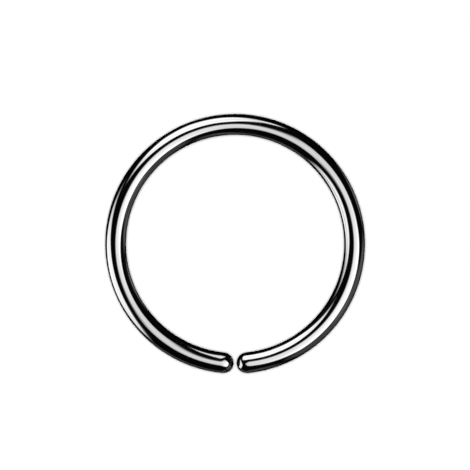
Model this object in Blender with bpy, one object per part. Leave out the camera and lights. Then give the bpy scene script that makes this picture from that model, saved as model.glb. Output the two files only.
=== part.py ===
# A seamless hoop ring for a piercing: one length of round wire bent into a circle,
# with its two rounded ends a hair apart. It lies flat, its axis along Z, and the
# ends meet on the -Y side. Blender 4.5, in metres, +Z up, origin on the ring's axis
# at the surface it lies on.

import math

import bpy

# Driving sizes, in metres
WIRE_DIAMETER = 0.0010
INNER_DIAMETER = 0.0105
END_GAP = 0.00015
DOME_LENGTH = 0.0006
TIP_FLAT_DIAMETER = 0.00012

# How finely the round shapes are cut into flat faces
WIRE_SIDES = 32
BODY_STEPS = 120
DOME_STEPS = 9

# The steel under its black polish
STEEL_COLOUR = (0.045, 0.045, 0.048, 1.0)
STEEL_ROUGHNESS = 0.07

WIRE_RADIUS = WIRE_DIAMETER / 2
BEND_RADIUS = (INNER_DIAMETER + WIRE_DIAMETER) / 2
GAP_SIDE = -math.pi / 2

# The flats of the many-sided wire lie on the real wire's surface, and one of
# them is at the very bottom, so the ring rests on a narrow flat band.
CORNER_RADIUS = WIRE_RADIUS / math.cos(math.pi / WIRE_SIDES)
HALF_SIDE_TURN = math.pi / WIRE_SIDES


def clear_scene():
    for old in list(bpy.data.objects):
        bpy.data.objects.remove(old)


def dome_steps():
    """(distance back from the tip, share of the wire's radius) down one rounded
    end, from the tiny flat at its tip to the full wire."""
    tip_angle = math.acos(TIP_FLAT_DIAMETER / WIRE_DIAMETER)
    full_length = DOME_LENGTH / math.sin(tip_angle)
    steps = []
    for step in range(DOME_STEPS):
        angle = tip_angle * (1 - step / DOME_STEPS)
        back = DOME_LENGTH - full_length * math.sin(angle)
        steps.append((back, math.cos(angle)))
    return steps


def wire_stations():
    """(angle about the ring's axis, share of the wire's radius) along the wire."""
    tip_turn = END_GAP / 2 / BEND_RADIUS
    dome_turn = DOME_LENGTH / BEND_RADIUS
    first_tip = GAP_SIDE + tip_turn
    last_tip = GAP_SIDE + 2 * math.pi - tip_turn
    body_start = first_tip + dome_turn
    body_turn = last_tip - dome_turn - body_start
    dome = [(back / BEND_RADIUS, share) for back, share in dome_steps()]
    stations = [(first_tip + turn, share) for turn, share in dome]
    for step in range(BODY_STEPS + 1):
        stations.append((body_start + body_turn * step / BODY_STEPS, 1.0))
    stations += [(last_tip - turn, share) for turn, share in reversed(dome)]
    return stations


def black_steel():
    """Steel with a black, mirror-polished coating."""
    material = bpy.data.materials.new("black_steel")
    material.use_nodes = True
    shader = material.node_tree.nodes["Principled BSDF"]
    shader.inputs["Base Color"].default_value = STEEL_COLOUR
    shader.inputs["Metallic"].default_value = 1.0
    shader.inputs["Roughness"].default_value = STEEL_ROUGHNESS
    material.diffuse_color = STEEL_COLOUR
    return material


def hoop_wire():
    """The bent wire as a bevelled curve, narrowed to a dome at each end."""
    curve = bpy.data.curves.new("hoop_wire", "CURVE")
    curve.dimensions = "3D"
    curve.twist_mode = "Z_UP"
    curve.fill_mode = "FULL"
    curve.bevel_depth = CORNER_RADIUS
    curve.bevel_resolution = (WIRE_SIDES - 4) // 2
    curve.use_fill_caps = True
    stations = wire_stations()
    spline = curve.splines.new("POLY")
    spline.points.add(len(stations) - 1)
    for point, (angle, share) in zip(spline.points, stations):
        x = BEND_RADIUS * math.cos(angle)
        y = BEND_RADIUS * math.sin(angle)
        point.co = (x, y, 0.0, 1.0)
        point.radius = share
        point.tilt = HALF_SIDE_TURN
    spline.use_smooth = True
    return curve


def main():
    clear_scene()
    collection = bpy.data.collections.new("seamless_hoop_ring")
    bpy.context.scene.collection.children.link(collection)
    wire = hoop_wire()
    wire.materials.append(black_steel())
    hoop = bpy.data.objects.new("hoop", wire)
    hoop.location.z = WIRE_RADIUS
    collection.objects.link(hoop)


main()
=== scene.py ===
# The looks of a seamless hoop ring in polished black steel, lying on its side on a
# plain pale floor. The camera looks straight down on it. Blender 4.5, in metres,
# +Z up, in the frame of the CAD model: the ring's axis is Z and its gap is at -Y.

import math

import bpy
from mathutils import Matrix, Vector


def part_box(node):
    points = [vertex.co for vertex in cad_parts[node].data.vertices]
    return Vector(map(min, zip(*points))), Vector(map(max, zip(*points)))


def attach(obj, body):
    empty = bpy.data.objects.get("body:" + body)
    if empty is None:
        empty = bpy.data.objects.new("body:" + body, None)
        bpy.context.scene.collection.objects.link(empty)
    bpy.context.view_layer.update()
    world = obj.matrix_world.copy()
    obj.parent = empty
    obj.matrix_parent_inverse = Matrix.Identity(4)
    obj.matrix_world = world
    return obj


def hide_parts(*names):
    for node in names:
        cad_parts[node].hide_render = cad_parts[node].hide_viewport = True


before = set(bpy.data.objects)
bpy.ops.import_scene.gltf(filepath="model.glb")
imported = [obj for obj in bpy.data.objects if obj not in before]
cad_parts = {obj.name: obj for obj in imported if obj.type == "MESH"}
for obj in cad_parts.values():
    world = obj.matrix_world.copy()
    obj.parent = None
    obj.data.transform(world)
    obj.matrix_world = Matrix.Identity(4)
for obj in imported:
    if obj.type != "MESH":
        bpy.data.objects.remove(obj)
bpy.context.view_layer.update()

# Sizes of the wire, from the CAD model's box, and of its two domed ends. A dome
# of fullness 2 would be half an ellipse, and more gives it a fuller shoulder.
hoop_low, hoop_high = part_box("hoop")
WIRE_RADIUS = (hoop_high.z - hoop_low.z) / 2
BEND_RADIUS = hoop_high.x - WIRE_RADIUS
END_GAP = 0.00015
DOME_LENGTH = 0.0006
DOME_FULLNESS = 2.5
GAP_SIDE = -math.pi / 2

# How finely the wire's mesh is cut
BODY_STEPS = 480
DOME_STEPS = 24
WIRE_SIDES = 96

# The polish: fine lines along the wire from drawing and polishing it, slow waves
# in its surface, and soft patches where it was buffed more or less. The detail of
# each is how many finer layers of the same noise lie over it.
LINE_WIDTH = 0.000015
LINE_LENGTH = 0.0012
LINE_DETAIL = 2.0
LINE_DEPTH = 0.0000004
WAVE_LENGTH = 0.0016
WAVE_DETAIL = 0.0
WAVE_DEPTH = 0.000004
PATCH_SIZE = 0.0018
PATCH_DETAIL = 3.0

# The steel. Its colour runs from dark to pale with the patches. Its roughness runs
# from low to high as the product of the lines and the patches, which are noises
# between 0 and 1, goes from POLISH_LOW to POLISH_HIGH. EDGE_TINT dims what the
# steel mirrors where it is seen nearly along its surface.
STEEL_DARK = (0.047, 0.047, 0.048, 1.0)
STEEL_PALE = (0.053, 0.053, 0.053, 1.0)
POLISH_LOW = 0.1
POLISH_HIGH = 0.4
ROUGHNESS_LOW = 0.03
ROUGHNESS_HIGH = 0.10
EDGE_TINT = (0.3, 0.3, 0.3, 1.0)

# The photograph's framing: the picture's width at the wire, how far the ring's
# centre lies below and to the right of its middle, and the camera's distance. It
# sees what is up to CLIP_RATIO times nearer or farther than that.
VIEW_WIDTH = 0.022623
RING_BELOW_MIDDLE = 0.000426
RING_RIGHT_OF_MIDDLE = 0.000005
CAMERA_DISTANCE = 0.8
SENSOR_WIDTH = 36.0
CLIP_RATIO = 10

# Floor and studio. The camera sees the backdrop at its full strength, and for all
# other rays it is a dim room, as strong as ROOM_GLOW.
FLOOR_HALF_SIZE = 3.0
FLOOR_COLOUR = (0.86, 0.86, 0.86, 1.0)
BACKDROP_COLOUR = (1.0, 1.0, 1.0, 1.0)
BACKDROP_STRENGTH = 1.0
OVERHEAD_STRENGTH = 3.65
OVERHEAD_SPREAD = math.radians(24)
ROOM_GLOW = 0.024

# Three softboxes and three faint cards, sheets of light that only the wire mirrors.
# The mesh of each has so many rings from its middle to its rim, and so many steps
# from one corner to the next.
SOFTBOX_RADIANCE = 20.0
SOFTBOX_DISTANCE = 0.12
CARD_DISTANCE = 1.0
SOFTBOX_RINGS = 20
STEPS_PER_SIDE = 6

# Their corners. Each is given by the wire's surface that mirrors it up to the
# camera: how far that surface leans to the picture's right and to its top, as
# parts of its normal. glow is the brightness there, as a share of SOFTBOX_RADIANCE,
# and fade the share of the way to the sheet's middle over which it dies away.
# right, up, glow, fade
FRONT_BOX = (
    (-0.19, -0.15, 0.45, 0.14),
    (-0.135, -0.07, 0.52, 0.17),
    (-0.07, 0.01, 0.71, 0.25),
    (0.035, 0.141, 0.60, 0.14),
    (0.145, 0.278, 0.44, 0.14),
    (0.30, 0.195, 0.78, 0.20),
    (0.46, 0.025, 1.40, 0.25),
    (0.51, -0.10, 1.20, 0.25),
    (0.49, -0.23, 1.20, 0.25),
    (0.38, -0.37, 1.20, 0.25),
    (0.26, -0.445, 1.20, 0.25),
    (0.10, -0.40, 1.00, 0.20),
    (-0.05, -0.325, 0.58, 0.16),
)
TOP_BOX = (
    (0.00, 0.278, 1.00, 0.12),
    (0.108, 0.445, 1.00, 0.18),
    (0.19, 0.495, 0.42, 0.20),
    (0.275, 0.595, 1.05, 0.20),
    (0.17, 0.61, 0.35, 0.15),
    (0.10, 0.65, 1.05, 0.20),
    (-0.06, 0.71, 1.15, 0.25),
    (-0.29, 0.72, 1.10, 0.30),
    (-0.43, 0.585, 1.12, 0.24),
    (-0.45, 0.44, 1.15, 0.20),
    (-0.45, 0.33, 1.00, 0.20),
    (-0.44, 0.225, 0.58, 0.20),
    (-0.35, 0.225, 0.98, 0.18),
    (-0.18, 0.24, 1.10, 0.12),
)
LEFT_BOX = (
    (-0.60, 0.39, 0.24, 0.25),
    (-0.59, 0.27, 0.60, 0.25),
    (-0.535, 0.12, 1.00, 0.28),
    (-0.45, -0.04, 1.00, 0.35),
    (-0.355, -0.24, 0.98, 0.42),
    (-0.41, -0.435, 1.00, 0.35),
    (-0.51, -0.63, 0.75, 0.25),
    (-0.615, -0.58, 0.90, 0.25),
    (-0.79, -0.425, 1.35, 0.32),
    (-0.87, -0.245, 1.35, 0.34),
    (-0.87, -0.10, 1.30, 0.33),
    (-0.84, 0.06, 1.22, 0.28),
    (-0.72, 0.27, 0.80, 0.25),
)
RIGHT_CARD = (
    (0.21, -0.53, 0.05, 0.15),
    (0.46, -0.40, 0.15, 0.10),
    (0.56, -0.14, 0.06, 0.10),
    (0.66, -0.07, 0.05, 0.20),
    (0.76, 0.11, 0.10, 0.45),
    (0.96, 0.15, 0.15, 0.45),
    (0.94, -0.28, 0.11, 0.10),
    (0.78, -0.60, 0.15, 0.10),
    (0.61, -0.75, 0.09, 0.10),
    (0.44, -0.80, 0.05, 0.15),
    (0.28, -0.70, 0.04, 0.15),
)
RIM_CARD = (
    (0.84, 0.10, 0.05, 0.20),
    (0.80, 0.19, 0.13, 0.20),
    (0.74, 0.29, 0.11, 0.25),
    (0.71, 0.44, 0.10, 0.25),
    (0.69, 0.59, 0.12, 0.20),
    (0.78, 0.59, 0.15, 0.20),
    (0.88, 0.39, 0.50, 0.10),
    (0.97, 0.10, 0.25, 0.10),
)
LOW_CARD = (
    (0.23, -0.66, 0.03, 0.20),
    (0.34, -0.77, 0.04, 0.20),
    (0.42, -0.85, 0.05, 0.10),
    (0.00, -0.96, 0.10, 0.10),
    (-0.34, -0.90, 0.10, 0.10),
    (-0.68, -0.68, 0.14, 0.10),
    (-0.56, -0.61, 0.06, 0.20),
    (-0.37, -0.72, 0.033, 0.20),
    (-0.10, -0.80, 0.04, 0.20),
    (0.12, -0.81, 0.015, 0.20),
)

# Each sheet's distance from the ring, its middle as (right, up, glow), its corners
SOFTBOXES = {
    "front_softbox": (SOFTBOX_DISTANCE, (0.23, -0.135, 1.02), FRONT_BOX),
    "top_softbox": (SOFTBOX_DISTANCE, (-0.13, 0.47, 0.93), TOP_BOX),
    "left_softbox": (SOFTBOX_DISTANCE, (-0.63, -0.12, 0.88), LEFT_BOX),
    "right_card": (CARD_DISTANCE, (0.70, -0.36, 0.05), RIGHT_CARD),
    "rim_card": (CARD_DISTANCE, (0.83, 0.31, 0.24), RIM_CARD),
    "low_card": (CARD_DISTANCE, (-0.10, -0.87, 0.055), LOW_CARD),
}


def join_nodes(tree, source, output, target, socket):
    """A link from that output of one node to that input of another."""
    tree.links.new(source.outputs[output], target.inputs[socket])


# The ring

def dome_profile():
    """(distance back from the tip, share of the wire's radius) along one domed end,
    from just behind its tip to the full wire."""
    steps = []
    for step in range(1, DOME_STEPS + 1):
        angle = math.pi / 2 * step / DOME_STEPS
        ahead = math.cos(angle) ** (2 / DOME_FULLNESS)
        steps.append((DOME_LENGTH * (1 - ahead), math.sin(angle)))
    return steps


def wire_stations():
    """The first tip's angle about the ring's axis, then (angle, share of the wire's
    radius) along the wire, then the last tip's angle."""
    first_tip = GAP_SIDE + END_GAP / 2 / BEND_RADIUS
    last_tip = GAP_SIDE + 2 * math.pi - END_GAP / 2 / BEND_RADIUS
    dome_turn = DOME_LENGTH / BEND_RADIUS
    body_turn = last_tip - first_tip - 2 * dome_turn
    dome = [(back / BEND_RADIUS, share) for back, share in dome_profile()]
    stations = [(first_tip + turn, share) for turn, share in dome]
    for step in range(1, BODY_STEPS):
        stations.append((first_tip + dome_turn + body_turn * step / BODY_STEPS, 1.0))
    stations += [(last_tip - turn, share) for turn, share in reversed(dome)]
    return first_tip, stations, last_tip


def wire_point(angle, out, up):
    """The point at that angle about the ring's axis, that far outside the wire's
    centre line and that far above it."""
    reach = BEND_RADIUS + out
    return (reach * math.cos(angle), reach * math.sin(angle), WIRE_RADIUS + up)


def ring_mesh():
    """The bent wire with a domed end on each side of the gap. Its attribute
    straight_wire says where each point lay before the wire was bent."""
    first_tip, stations, last_tip = wire_stations()
    verts = [wire_point(first_tip, 0.0, 0.0)]
    straight = [(0.0, 0.0, first_tip * BEND_RADIUS)]
    for angle, share in stations:
        for side in range(WIRE_SIDES):
            turn = 2 * math.pi * side / WIRE_SIDES
            out = share * WIRE_RADIUS * math.cos(turn)
            up = share * WIRE_RADIUS * math.sin(turn)
            verts.append(wire_point(angle, out, up))
            straight.append((out, up, angle * BEND_RADIUS))
    verts.append(wire_point(last_tip, 0.0, 0.0))
    straight.append((0.0, 0.0, last_tip * BEND_RADIUS))
    # Triangles round each tip, and four-sided faces from loop to loop
    faces = []
    last_loop = 1 + (len(stations) - 1) * WIRE_SIDES
    for side in range(WIRE_SIDES):
        after = (side + 1) % WIRE_SIDES
        faces.append((0, 1 + side, 1 + after))
        for loop in range(1, last_loop, WIRE_SIDES):
            ahead = loop + WIRE_SIDES
            faces.append((loop + side, ahead + side, ahead + after, loop + after))
        faces.append((last_loop + side, len(verts) - 1, last_loop + after))
    mesh = bpy.data.meshes.new("hoop_ring")
    mesh.from_pydata(verts, [], faces)
    mesh.shade_smooth()
    attribute = mesh.attributes.new("straight_wire", "FLOAT_VECTOR", "POINT")
    attribute.data.foreach_set("vector", [part for point in straight for part in point])
    return mesh


def noise_on_wire(tree, wire, width, length, detail):
    """Noise whose spots are that wide across the wire and that long along it."""
    mapping = tree.nodes.new("ShaderNodeMapping")
    mapping.inputs["Scale"].default_value = (1 / width, 1 / width, 1 / length)
    noise = tree.nodes.new("ShaderNodeTexNoise")
    noise.inputs["Scale"].default_value = 1.0
    noise.inputs["Detail"].default_value = detail
    join_nodes(tree, wire, "Vector", mapping, "Vector")
    join_nodes(tree, mapping, "Vector", noise, "Vector")
    return noise


def relief(tree, height, depth, below=None):
    """A bump of that depth, on top of the one below."""
    bump = tree.nodes.new("ShaderNodeBump")
    bump.inputs["Distance"].default_value = depth
    join_nodes(tree, height, "Fac", bump, "Height")
    if below:
        join_nodes(tree, below, "Normal", bump, "Normal")
    return bump


def black_steel():
    """Steel under a black coating, polished like a mirror. Its polish is not quite
    even: faint lines run along the wire, and the sheen is softer in patches."""
    material = bpy.data.materials.new("black_steel")
    material.use_nodes = True
    tree = material.node_tree
    shader = tree.nodes["Principled BSDF"]
    shader.inputs["Metallic"].default_value = 1.0
    shader.inputs["Specular Tint"].default_value = EDGE_TINT
    wire = tree.nodes.new("ShaderNodeAttribute")
    wire.attribute_name = "straight_wire"
    lines = noise_on_wire(tree, wire, LINE_WIDTH, LINE_LENGTH, LINE_DETAIL)
    waves = noise_on_wire(tree, wire, WAVE_LENGTH, WAVE_LENGTH, WAVE_DETAIL)
    patches = noise_on_wire(tree, wire, PATCH_SIZE, PATCH_SIZE, PATCH_DETAIL)

    colour = tree.nodes.new("ShaderNodeMix")
    colour.data_type = "RGBA"
    colour.inputs["A"].default_value = STEEL_DARK
    colour.inputs["B"].default_value = STEEL_PALE
    join_nodes(tree, patches, "Fac", colour, "Factor")
    join_nodes(tree, colour, "Result", shader, "Base Color")

    polish = tree.nodes.new("ShaderNodeMath")
    polish.operation = "MULTIPLY"
    join_nodes(tree, lines, "Fac", polish, 0)
    join_nodes(tree, patches, "Fac", polish, 1)
    roughness = tree.nodes.new("ShaderNodeMapRange")
    roughness.inputs["From Min"].default_value = POLISH_LOW
    roughness.inputs["From Max"].default_value = POLISH_HIGH
    roughness.inputs["To Min"].default_value = ROUGHNESS_LOW
    roughness.inputs["To Max"].default_value = ROUGHNESS_HIGH
    join_nodes(tree, polish, "Value", roughness, "Value")
    join_nodes(tree, roughness, "Result", shader, "Roughness")

    wavy = relief(tree, waves, WAVE_DEPTH)
    lined = relief(tree, lines, LINE_DEPTH, wavy)
    join_nodes(tree, lined, "Normal", shader, "Normal")
    return material


def build_ring():
    """The whole ring, which stands for the CAD model's plain solid."""
    ring = bpy.data.objects.new("hoop_ring", ring_mesh())
    ring.data.materials.append(black_steel())
    bpy.context.collection.objects.link(ring)
    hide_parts("hoop")
    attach(ring, "root")


# The studio

def mirrored_direction(right, up):
    """Where the camera sees by reflection in a surface whose normal leans so far."""
    normal = Vector((right, up, math.sqrt(1 - right * right - up * up)))
    return 2 * normal.z * normal - Vector((0, 0, 1))


def glow_material():
    """A veil of light as strong as the mesh's glow attribute, with no body."""
    material = bpy.data.materials.new("softbox_glow")
    material.use_nodes = True
    tree = material.node_tree
    tree.nodes.clear()
    glow = tree.nodes.new("ShaderNodeAttribute")
    glow.attribute_name = "glow"
    emission = tree.nodes.new("ShaderNodeEmission")
    clear = tree.nodes.new("ShaderNodeBsdfTransparent")
    both = tree.nodes.new("ShaderNodeAddShader")
    output = tree.nodes.new("ShaderNodeOutputMaterial")
    join_nodes(tree, glow, "Fac", emission, "Strength")
    join_nodes(tree, emission, "Emission", both, 0)
    join_nodes(tree, clear, "BSDF", both, 1)
    join_nodes(tree, both, "Shader", output, "Surface")
    return material


def softbox_outline(corners):
    """The corners, with points between them along each side."""
    outline = []
    for index, corner in enumerate(corners):
        following = corners[(index + 1) % len(corners)]
        for step in range(STEPS_PER_SIDE):
            share = step / STEPS_PER_SIDE
            outline.append([a + (b - a) * share for a, b in zip(corner, following)])
    return outline


def smooth_rise(share):
    """0 at 0 and 1 at 1 and beyond, with no kink between."""
    share = min(1.0, share)
    return share * share * (3 - 2 * share)


def softbox(name, distance, middle, corners, material):
    """A glowing sheet with those corners, which fades to nothing at its rim."""
    outline = softbox_outline(corners)
    verts = [mirrored_direction(*middle[:2]) * distance]
    glows = [middle[2] * SOFTBOX_RADIANCE]
    for ring in range(1, SOFTBOX_RINGS + 1):
        out = ring / SOFTBOX_RINGS
        for point in outline:
            right, up, glow = [m + (p - m) * out for m, p in zip(middle, point)]
            glow *= smooth_rise((1 - out) / point[3])
            verts.append(mirrored_direction(right, up) * distance)
            glows.append(glow * SOFTBOX_RADIANCE)
    count = len(outline)
    faces = []
    for side in range(count):
        after = (side + 1) % count
        faces.append((0, 1 + side, 1 + after))
        for ring in range(SOFTBOX_RINGS - 1):
            near = 1 + ring * count
            far = near + count
            faces.append((near + side, far + side, far + after, near + after))
    mesh = bpy.data.meshes.new(name)
    mesh.from_pydata(verts, [], faces)
    attribute = mesh.attributes.new("glow", "FLOAT", "POINT")
    attribute.data.foreach_set("value", glows)
    mesh.materials.append(material)
    box = bpy.data.objects.new(name, mesh)
    box.visible_camera = False
    box.visible_diffuse = False
    box.visible_shadow = False
    bpy.context.collection.objects.link(box)


def build_softboxes():
    """Every sheet of light."""
    material = glow_material()
    for name, (distance, middle, corners) in SOFTBOXES.items():
        softbox(name, distance, middle, corners, material)


def build_floor():
    """A plain matt floor, which the wire doesn't mirror."""
    bpy.ops.mesh.primitive_plane_add(size=2 * FLOOR_HALF_SIZE)
    floor = bpy.context.object
    floor.name = "floor"
    material = bpy.data.materials.new("floor")
    material.use_nodes = True
    shader = material.node_tree.nodes["Principled BSDF"]
    shader.inputs["Base Color"].default_value = FLOOR_COLOUR
    shader.inputs["Roughness"].default_value = 1.0
    shader.inputs["Specular IOR Level"].default_value = 0.0
    floor.data.materials.append(material)
    floor.visible_glossy = False


def build_overhead_light():
    """Soft light from straight above, which only the floor takes."""
    light = bpy.data.lights.new("overhead", "SUN")
    light.energy = OVERHEAD_STRENGTH
    light.angle = OVERHEAD_SPREAD
    overhead = bpy.data.objects.new("overhead", light)
    overhead.visible_glossy = False
    bpy.context.collection.objects.link(overhead)


def build_backdrop():
    """Pale surroundings for the camera, and a dim room for all other rays."""
    world = bpy.data.worlds.new("backdrop")
    world.use_nodes = True
    tree = world.node_tree
    background = tree.nodes["Background"]
    background.inputs["Color"].default_value = BACKDROP_COLOUR
    rays = tree.nodes.new("ShaderNodeLightPath")
    strength = tree.nodes.new("ShaderNodeMapRange")
    strength.inputs["To Min"].default_value = ROOM_GLOW
    strength.inputs["To Max"].default_value = BACKDROP_STRENGTH
    join_nodes(tree, rays, "Is Camera Ray", strength, "Value")
    join_nodes(tree, strength, "Result", background, "Strength")
    bpy.context.scene.world = world


def build_camera():
    """The camera, which looks straight down as the photograph does."""
    data = bpy.data.cameras.new("camera")
    data.sensor_width = SENSOR_WIDTH
    data.lens = SENSOR_WIDTH * CAMERA_DISTANCE / VIEW_WIDTH
    data.clip_start = CAMERA_DISTANCE / CLIP_RATIO
    data.clip_end = CAMERA_DISTANCE * CLIP_RATIO
    camera = bpy.data.objects.new("camera", data)
    height = WIRE_RADIUS + CAMERA_DISTANCE
    camera.location = (-RING_RIGHT_OF_MIDDLE, RING_BELOW_MIDDLE, height)
    bpy.context.collection.objects.link(camera)
    bpy.context.scene.camera = camera


bpy.context.scene.view_settings.view_transform = "Standard"
build_camera()
build_ring()
build_softboxes()
build_floor()
build_overhead_light()
build_backdrop()
